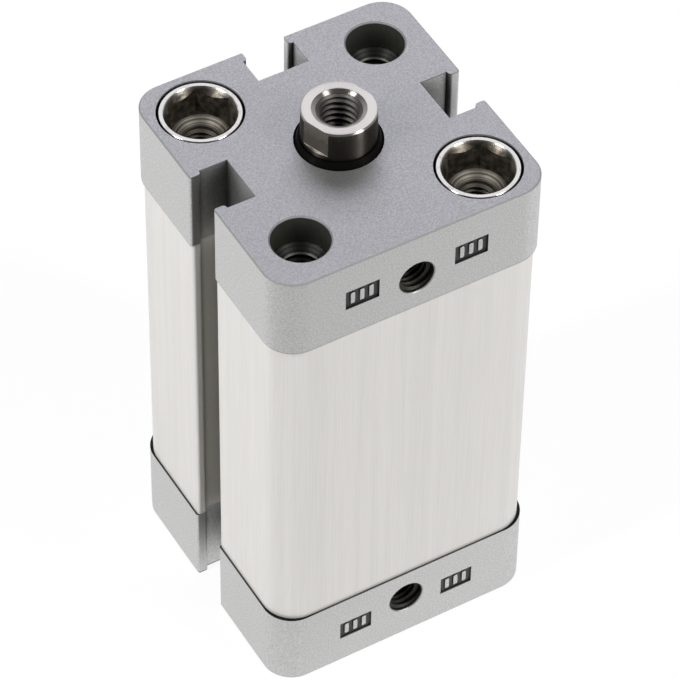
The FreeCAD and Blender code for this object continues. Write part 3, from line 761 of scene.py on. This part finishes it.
@dataclass(frozen=True)
class CutFinish(Finish):
    """Freshly cut thread: satin ridges, with painted shade in the roots."""

    spread: Range = (-0.03, 0.04)
    relief: float = 0.002 * MM
    ring_scale: float = 9000.0
    # painted shade colour of the roots
    root: Colour = (0.03, 0.028, 0.026)
    reach: float = 0.0008
    sky: Range = (0.75, 0.3)

    def dress(self, graph: Graph) -> None:
        """Paints shade into the roots between the ridges and draws the tool's lines.

        Args:
            graph: The material's graph.
        """
        fine = graph.group(Effect.RINGS, {"Offset": 0.0, "Scale": self.ring_scale})["Fine"]
        # painted shade in the roots between the ridges
        tone = graph.mix(graph.hollows(Effect.CONTACT, self.reach, self.sky), self.colour, self.root)
        self.paint(graph, tone, self.grained(graph, fine), fine)


@dataclass(frozen=True)
class MouldedFinish(Finish):
    """Rubber or plastic: dull, with a fine moulded grain."""

    spread: Range = (-0.08, 0.08)
    relief: float = 0.006 * MM
    grain_scale: float = 2500.0
    light: Colour = (0.05, 0.05, 0.05)

    def dress(self, graph: Graph) -> None:
        """Clouds the colour and grains the surface.

        Args:
            graph: The material's graph.
        """
        grain = graph.group(Effect.GRAIN, {"Scale": self.grain_scale})
        tone = graph.mix(grain["Wide"], self.colour, self.light)
        self.paint(graph, tone, self.grained(graph, grain["Fine"]), grain["Fine"])


@dataclass(frozen=True)
class TurnedFinish(Finish):
    """Lathe-turned metal: fine rings round the axis."""

    spread: Range = (-0.05, 0.08)
    ring_scale: float = 7000.0
    dark: Colour = (0.3, 0.3, 0.3)

    def dress(self, graph: Graph) -> None:
        """Draws the rings into colour, roughness and normal.

        Args:
            graph: The material's graph.
        """
        fine = graph.group(Effect.RINGS, {"Offset": 0.0, "Scale": self.ring_scale})["Fine"]
        tone = graph.mix(fine, self.colour, self.dark)
        self.paint(graph, tone, self.grained(graph, fine), fine)


# the thread's colour is darkened as painted shade inside the rod's bore
ROD_THREAD = CutFinish("cut_thread", (0.23, 0.218, 0.203), 1.0, 0.4)

FINISHES: dict[Slot, Finish] = {
    Slot.COVER: CastFinish("cast_cover", (0.68, 0.677, 0.672), 0.88, 0.46),
    Slot.BARREL: DrawnFinish("drawn_barrel", (0.805, 0.784, 0.757), 0.12, 0.45),
    Slot.BOLT: PlatedFinish("nickel_bolt", (0.76, 0.737, 0.665), 1.0, 0.18),
    Slot.ROD: GroundFinish("ground_rod", (0.69, 0.654, 0.58), 1.0, 0.34),
    Slot.SCREW: TurnedFinish("piston_screw_steel", (0.30, 0.30, 0.31), 1.0, 0.35, dark=(0.2, 0.2, 0.2)),
    Slot.SEAL: MouldedFinish(
        "seal_rubber", (0.003, 0.003, 0.003), 0.0, 0.3, gloss=0.03, light=(0.005, 0.0045, 0.004)
    ),
    Slot.BUMPER: MouldedFinish("bumper_urethane", (0.16, 0.14, 0.08), 0.0, 0.5, light=(0.20, 0.17, 0.10)),
    Slot.PISTON: TurnedFinish("piston_alloy", (0.70, 0.70, 0.70), 1.0, 0.32, dark=(0.5, 0.5, 0.5)),
    Slot.MAGNET: MouldedFinish(
        "magnet_composite", (0.06, 0.06, 0.06), 0.0, 0.6, gloss=0.4, light=(0.09, 0.09, 0.09)
    ),
    Slot.BUSH: TurnedFinish("bronze_bush", (0.60, 0.42, 0.22), 1.0, 0.38, dark=(0.45, 0.30, 0.15)),
    Slot.BAND: MouldedFinish("band_plastic", (0.20, 0.16, 0.12), 0.0, 0.5, light=(0.24, 0.19, 0.14)),
}


def put_in_scene(name: str, data: bpy.types.ID) -> bpy.types.Object:
    """Puts a mesh, a lamp or a camera into the scene as an object.

    Args:
        name: Name of the object.
        data: Mesh, lamp or camera.

    Returns:
        The object, at the origin.
    """
    thing = bpy.data.objects.new(name, data)
    bpy.context.scene.collection.objects.link(thing)
    return thing


class Workshop:
    """Builds each material once, dresses nodes and turns surfaces into pieces."""

    sharp_angle: float = math.radians(35)

    def __init__(self) -> None:
        """Starts with no material built."""
        self._materials: dict[Finish, Material] = {}

    def material(self, finish: Finish) -> Material:
        """Gives a finish's material.

        Args:
            finish: Which finish.

        Returns:
            The material, built once.
        """
        if finish not in self._materials:
            self._materials[finish] = finish.material()
        return self._materials[finish]

    def dress(self, body: Body) -> None:
        """Gives each node of a body the finish of its material slot.

        Args:
            body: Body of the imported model.
        """
        record = frame["record"]
        slots = {part["node"]: Slot(part["material_slot"]) for part in record["subparts"]}
        for node in record["behaviour"]["bodies"][body.value]:
            mesh = frame["nodes"][node].data
            mesh.materials.clear()
            mesh.materials.append(self.material(FINISHES[slots[node]]))
            LOG.info("%s dressed as %s", node, slots[node].value)

    def piece(
        self, name: str, surface: Surface, slot: Slot, body: Body, finish: Finish | None = None
    ) -> None:
        """Makes a closed surface into a piece that rides on a body.

        Args:
            name: Name of the piece.
            surface: Corner points in metres, n by 3, and corner numbers of each face, m by 4; a
                repeated corner makes a triangle.
            slot: Material slot that it belongs to.
            body: Body that it moves with.
            finish: Finish of its own, or none to look like the rest of its slot.
        """
        points, quads = surface
        faces = [list(dict.fromkeys(face)) for face in outward(points, quads).tolist()]
        mesh = bpy.data.meshes.new(name)
        mesh.from_pydata(points.tolist(), [], faces)
        mesh.polygons.foreach_set("use_smooth", np.ones(len(mesh.polygons), dtype=bool))
        mesh.materials.append(self.material(finish or FINISHES[slot]))
        mesh.set_sharp_from_angle(angle=self.sharp_angle)
        thing = put_in_scene(name, mesh)
        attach(thing, body.value)
        LOG.info("%s: %d faces on %s", name, len(mesh.polygons), body.value)


def outward(points: np.ndarray, quads: np.ndarray) -> np.ndarray:
    """Turns all faces of a closed surface outwards, by the sign of the volume that they enclose.

    Args:
        points: Corner points, n by 3.
        quads: Corner numbers of each face, m by 4.

    Returns:
        The faces, reversed where they pointed inwards.
    """
    a, b, c, d = (points[quads[:, k]] for k in range(4))
    volume = np.einsum("ij,ij->", a, np.cross(b, c)) + np.einsum("ij,ij->", a, np.cross(c, d))
    return quads if volume > 0 else quads[:, ::-1]


def grid_faces(rows: int, columns: int) -> np.ndarray:
    """Faces of a grid of points whose last column joins the first.

    Args:
        rows: Number of rows of points.
        columns: Number of points in a row.

    Returns:
        Corner numbers, m by 4.
    """
    row, column = np.meshgrid(np.arange(rows - 1), np.arange(columns), indexing="ij")
    after = (column + 1) % columns
    here = row * columns
    beyond = here + columns
    corners = (here + column, here + after, beyond + after, beyond + column)
    return np.stack([corner.ravel() for corner in corners], axis=1)


@dataclass(frozen=True)
class ThreadRidge:
    """Ridge of one internal thread, standing on the wall of its plain hole.

    The rise and the widths of root and crest are shares of the pitch.
    """

    name: str
    mouth: Point
    inwards: Point
    major_radius: float
    pitch: float
    length: float
    slot: Slot
    body: Body
    finish: Finish | None = None
    steps_per_turn: int = 56
    bed: float = 0.02 * MM
    rise_share: float = 0.5413
    root_share: float = 0.875
    crest_share: float = 0.25
    least_rise: float = 0.03
    run_out: float = FULL_TURN / 3

    def surface(self) -> Surface:
        """Works out the ridge as a trapezoid carried along a helix.

        With t the angle along the helix and (r, w) a corner of the trapezoid, the point is mouth
        + inwards * (pitch * (t / 2 pi + 1/2) + w) + r * (cos t * side + sin t * other). The crest
        runs out into the wall over the first and the last third of a turn.

        Returns:
            Corner points and faces.
        """
        turns = self.length / self.pitch - 1.0
        angle = np.linspace(0.0, FULL_TURN * turns, int(turns * self.steps_per_turn))[:, None]
        lead = np.minimum(angle, angle[-1] - angle) / self.run_out
        rise = self.rise_share * self.pitch * np.clip(lead, self.least_rise, 1.0)
        root, crest = (share * self.pitch / 2 for share in (self.root_share, self.crest_share))
        widths = np.array([[-root, root, crest, -crest]])
        radii = self.major_radius + self.bed - (rise + self.bed) * np.array([[0.0, 0.0, 1.0, 1.0]])
        along = self.pitch * angle / FULL_TURN + self.pitch / 2 + widths
        axis = np.array(self.inwards)
        side = np.cross(axis, (0.0, 0.0, 1.0) if abs(axis[2]) < 0.5 else (1.0, 0.0, 0.0))
        other = np.cross(axis, side)
        points = (
            np.array(self.mouth)
            + along[..., None] * axis
            + (radii * np.cos(angle))[..., None] * side
            + (radii * np.sin(angle))[..., None] * other
        )
        first, last = np.arange(4), np.arange(4) + 4 * (len(angle) - 1)
        faces = np.concatenate([grid_faces(len(angle), 4), [first[::-1], last]])
        return points.reshape(-1, 3), faces

    def build(self, shop: Workshop) -> None:
        """Puts the ridge into the model."""
        shop.piece(self.name, self.surface(), self.slot, self.body, self.finish)


@dataclass(frozen=True)
class PadRib:
    """Plain raised rib on the floor of a label pad.

    shares and lifts are the steps of its side: share of the full outline and of the full rise.
    """

    name: str
    centre: Point
    half_width: float = 0.33 * MM
    half_height: float = 0.95 * MM
    rise: float = 0.22 * MM
    shares: tuple[float, ...] = (0.0, 1.0, 1.0, 0.93, 0.80, 0.0)
    lifts: tuple[float, ...] = (-0.1, -0.1, 0.75, 0.94, 1.0, 1.0)
    power: float = 1 / 3
    steps: int = 48
    merge_decimals: int = 9

    def surface(self) -> Surface:
        """Works out the rib as shrinking superellipses, with the points at its two poles merged.

        With t the angle round the rib and (s, h) a step of its side, the point is
        centre + (s * half_width * c, -h * rise, s * half_height * d), where c and d are the
        cosine and sine of t raised to the power with their signs kept.

        Returns:
            Corner points and faces.
        """
        angle = np.linspace(0.0, FULL_TURN, self.steps, endpoint=False)[None, :]
        share, lift = (np.array(steps)[:, None] for steps in (self.shares, self.lifts))
        waves = (np.cos(angle), np.sin(angle))
        across, up = (np.sign(wave) * np.abs(wave) ** self.power for wave in waves)
        x = self.centre[0] + share * self.half_width * across
        y = self.centre[1] - self.rise * lift + 0.0 * angle
        z = self.centre[2] + share * self.half_height * up
        points = np.round(np.stack([x, y, z], axis=-1).reshape(-1, 3), self.merge_decimals)
        points, inverse = np.unique(points, axis=0, return_inverse=True)
        return points, inverse.reshape(-1)[grid_faces(len(share), self.steps)]

    def build(self, shop: Workshop) -> None:
        """Puts the rib into the model."""
        shop.piece(self.name, self.surface(), Slot.COVER, Body.HOUSING)


@dataclass
class Assembly:
    """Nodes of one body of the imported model, with the fine pieces that ride on it."""

    body: Body

    def dress(self, shop: Workshop) -> None:
        """Gives the body's nodes their finishes."""
        shop.dress(self.body)

    def build(self, shop: Workshop) -> None:
        """Adds the fine pieces, of which a plain body has none."""


@dataclass
class Housing(Assembly):
    """Covers, barrel and tie bolts, with their threads and the ribs of the label pads."""

    body: Body = Body.HOUSING
    length: float = 79.0 * MM
    bolt_place: float = BOLT_PLACE
    bolt_radius: float = 2.5 * MM
    bolt_pitch: float = 0.8 * MM
    head_thread_depth: float = 5.1 * MM
    tip_thread_depth: float = 5.45 * MM
    bolt_thread: float = 10.0 * MM
    port_face: float = 19.8 * MM
    port_height: float = 7.4 * MM
    port_thread: float = 7.3 * MM
    pad_offset: float = 8.0 * MM
    pad_height: float = 6.3 * MM
    pad_floor: float = 19.7 * MM
    rib_places: tuple[float, ...] = (-1.35 * MM, 0.0, 1.35 * MM)

    def build(self, shop: Workshop) -> None:
        """Builds all threads and ribs.

        Args:
            shop: Where pieces and materials are made.
        """
        for end, face, inwards in (("front", self.length, -1.0), ("rear", 0.0, 1.0)):
            self._bolt_threads(shop, end, face, inwards)
            port = (0.0, -self.port_face, face + inwards * self.port_height)
            ThreadRidge(
                f"{end}_port_thread", port, (0.0, 1.0, 0.0), self.bolt_radius, self.bolt_pitch,
                self.port_thread, Slot.COVER, self.body,
            ).build(shop)
            self._ribs(shop, end, face + inwards * self.pad_height)

    def _bolt_threads(self, shop: Workshop, end: str, face: float, inwards: float) -> None:
        """Builds the four mounting threads of one end.

        Args:
            shop: Where pieces and materials are made.
            end: Name of the end.
            face: Height of the cover's outer face.
            inwards: 1 or -1, the way into the housing along Z.
        """
        for x in (-1.0, 1.0):
            for y in (-1.0, 1.0):
                head = (x * y < 0) == (end == "front")
                start = face + inwards * (self.head_thread_depth if head else self.tip_thread_depth)
                place = (x * self.bolt_place, y * self.bolt_place, start)
                name = f"{end}_{'left' if x < 0 else 'right'}_{'port' if y < 0 else 'back'}_thread"
                ThreadRidge(
                    name, place, (0.0, 0.0, inwards), self.bolt_radius, self.bolt_pitch,
                    self.bolt_thread, Slot.BOLT, self.body,
                ).build(shop)

    def _ribs(self, shop: Workshop, end: str, height: float) -> None:
        """Builds the plain ribs on both label pads of one cover.

        Args:
            shop: Where pieces and materials are made.
            end: Name of the end.
            height: Height of the pads' middle.
        """
        for side, offset in (("left", -self.pad_offset), ("right", self.pad_offset)):
            for number, shift in enumerate(self.rib_places, start=1):
                centre = (offset + shift, -self.pad_floor, height)
                PadRib(f"{end}_{side}_rib_{number}", centre).build(shop)


@dataclass
class Rod(Assembly):
    """Piston and rod, with the female thread in the rod's end.

    The ring at the thread's mouth has a four-cornered section: a radius beyond the thread's and a
    height above its top for each corner.
    """

    body: Body = Body.ROD
    thread_top: float = 84.15 * MM
    thread_radius: float = 3.0 * MM
    thread_pitch: float = 1.0 * MM
    thread_length: float = 11.5 * MM
    mouth_radii: tuple[float, ...] = (0.02 * MM, -0.38 * MM, -0.38 * MM, 0.02 * MM)
    mouth_heights: tuple[float, ...] = (0.0, -0.24 * MM, -0.34 * MM, -0.6 * MM)
    mouth_steps: int = 96

    def build(self, shop: Workshop) -> None:
        """Builds the thread and the ring at its mouth.

        Args:
            shop: Where pieces and materials are made.
        """
        ThreadRidge(
            "rod_end_thread", (0.0, 0.0, self.thread_top), (0.0, 0.0, -1.0), self.thread_radius,
            self.thread_pitch, self.thread_length, Slot.ROD, self.body, ROD_THREAD,
        ).build(shop)
        shop.piece("rod_thread_mouth", self._mouth(), Slot.ROD, self.body, ROD_THREAD)

    def _mouth(self) -> Surface:
        """Works out the ring where the countersink meets the thread: its section turned about Z.

        With a the angle and (r, z) a corner of the section, the point is (r cos a, r sin a, z).

        Returns:
            Corner points and faces.
        """
        angle = np.linspace(0.0, FULL_TURN, self.mouth_steps, endpoint=False)[None, :]
        radius = self.thread_radius + np.array(self.mouth_radii)[:, None]
        height = self.thread_top + np.array(self.mouth_heights)[:, None] + 0.0 * angle
        points = np.stack([radius * np.cos(angle), radius * np.sin(angle), height], axis=-1)
        faces = grid_faces(len(radius) + 1, self.mouth_steps) % (len(radius) * self.mouth_steps)
        return points.reshape(-1, 3), faces


@dataclass(frozen=True)
class Softbox:
    """Rectangular lamp that faces a point of the object."""

    name: str
    azimuth: float
    elevation: float
    distance: float
    width: float
    height: float
    power: float
    colour: Colour = (1.0, 1.0, 1.0)
    target: Point = (0.0, 0.0, 0.045)

    def build(self) -> None:
        """Hangs the lamp and turns it to its target."""
        lamp = bpy.data.lights.new(self.name, "AREA")
        lamp.shape = "RECTANGLE"
        lamp.size = self.width
        lamp.size_y = self.height
        lamp.energy = self.power
        lamp.color = self.colour
        holder = put_in_scene(self.name, lamp)
        around, up = math.radians(self.azimuth), math.radians(self.elevation)
        way = np.array([math.cos(around) * math.cos(up), math.sin(around) * math.cos(up), math.sin(up)])
        holder.location = np.array(self.target) + way * self.distance
        holder.rotation_euler = (math.pi / 2 - up, 0.0, around + math.pi / 2)


@dataclass
class Studio:
    """Camera at the photograph's angle, pale floor, soft lamps and a dim room."""

    camera_place: Point = (-0.196703, -0.332791, 0.465533)
    azimuth: float = -30.669
    elevation: float = 47.692
    roll: float = 0.888
    focal_pixels: float = 4275.54
    frame_pixels: float = 680.0
    sensor_width: float = 36.0
    clip: Range = (0.01, 20.0)
    floor_half: float = 3.0
    floor_fade: Range = (-0.075, -0.005)
    floor_front: float = 0.63
    floor_seen: float = 1.07
    floor_glow: float = 0.85
    paper: Colour = (0.9, 0.9, 0.9)
    wall: Colour = (0.6, 0.6, 0.6)
    ceiling: Colour = (0.04, 0.04, 0.04)
    ceiling_fade: Range = (0.1, 0.55)
    softboxes: tuple[Softbox, ...] = (
        Softbox("softbox_right", -60.0, 35.0, 0.9, 0.15, 0.8, 4.6),
        Softbox("softbox_left", 178.0, 35.0, 0.9, 0.15, 0.8, 5.1),
        Softbox("panel_back", 59.0, 43.0, 1.0, 0.9, 0.56, 1.85, (0.88, 0.88, 1.0)),
    )

    def build(self) -> None:
        """Sets up camera, floor, room, lamps and view."""
        self._camera()
        self._floor()
        self._room()
        for box in self.softboxes:
            box.build()
        bpy.context.scene.view_settings.view_transform = "Standard"

    def _camera(self) -> None:
        """Places the camera from its angles and its focal length in pixels."""
        data = bpy.data.cameras.new("photo_camera")
        data.sensor_width = self.sensor_width
        data.sensor_fit = "HORIZONTAL"
        data.lens = self.focal_pixels * self.sensor_width / self.frame_pixels
        data.clip_start, data.clip_end = self.clip
        holder = put_in_scene("photo_camera", data)
        around, up, lean = (math.radians(angle) for angle in (self.azimuth, self.elevation, self.roll))
        right = np.array([math.cos(around), math.sin(around), 0.0])
        back = np.array([math.sin(around) * math.cos(up), -math.cos(around) * math.cos(up), math.sin(up)])
        above = np.cross(back, right)
        tilted_right = math.cos(lean) * right + math.sin(lean) * above
        tilted_above = -math.sin(lean) * right + math.cos(lean) * above
        pose = np.eye(4)
        pose[:3, :3] = np.stack([tilted_right, tilted_above, back], axis=1)
        pose[:3, 3] = self.camera_place
        holder.matrix_world = Matrix(pose.tolist())
        bpy.context.scene.camera = holder

    def _floor(self) -> None:
        """Lays a flat pale floor under the rear cover."""
        half = self.floor_half
        corners = [(-half, -half, 0.0), (half, -half, 0.0), (half, half, 0.0), (-half, half, 0.0)]
        mesh = bpy.data.meshes.new("floor")
        mesh.from_pydata(corners, [], [(0, 1, 2, 3)])
        mesh.materials.append(self._floor_material())
        put_in_scene("floor", mesh)

    def _floor_material(self) -> Material:
        """Builds white paper that glows where it is seen, less towards the camera where metal mirrors it.

        Returns:
            The material.
        """
        material = bpy.data.materials.new("floor_white")
        material.use_nodes = True
        graph = Graph(material.node_tree)
        around = math.radians(self.azimuth)
        back = (-math.sin(around), math.cos(around), 0.0)
        depth = graph.add("ShaderNodeVectorMath", {0: graph.place(), 1: back}, operation="DOT_PRODUCT")
        mirrored = graph.ramp(depth.outputs["Value"], *self.floor_fade, self.floor_front, 1.0)
        rays = graph.add("ShaderNodeLightPath").outputs
        seen = rays["Is Camera Ray"]
        strength = graph.math("MAXIMUM", graph.math("MULTIPLY", seen, self.floor_seen), mirrored)
        for kind in ("Is Glossy Ray", "Is Transmission Ray"):
            seen = graph.math("MAXIMUM", seen, rays[kind])
        share = graph.math("MULTIPLY", seen, self.floor_glow)
        paper = graph.add("ShaderNodeBsdfDiffuse", {"Color": (*self.paper, 1.0)})
        glow = graph.add("ShaderNodeEmission", {"Strength": strength})
        both = graph.add("ShaderNodeMixShader", {0: share, 1: paper.outputs[0], 2: glow.outputs[0]})
        graph.add("ShaderNodeOutputMaterial", {"Surface": both.outputs[0]})
        return material

    def _room(self) -> None:
        """Makes a room with pale walls and a dark ceiling: the glow fades as the direction rises."""
        world = bpy.data.worlds.new("dim_room")
        world.use_nodes = True
        bpy.context.scene.world = world
        graph = Graph(world.node_tree)
        way = graph.add("ShaderNodeTexCoord").outputs["Generated"]
        height = graph.add("ShaderNodeSeparateXYZ", {0: way}).outputs[2]
        glow = graph.mix(graph.ramp(height, *self.ceiling_fade), self.wall, self.ceiling)
        air = graph.add("ShaderNodeBackground", {"Color": glow})
        graph.add("ShaderNodeOutputWorld", {"Surface": air.outputs[0]})


def main() -> None:
    """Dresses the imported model, adds its fine pieces and sets up the studio."""
    logging.basicConfig(level=logging.INFO, format="%(name)s: %(message)s")
    shop = Workshop()
    for assembly in (Housing(), Assembly(Body.SEALS), Rod()):
        assembly.dress(shop)
        assembly.build(shop)
    Studio().build()


if __name__ == "__main__":
    main()
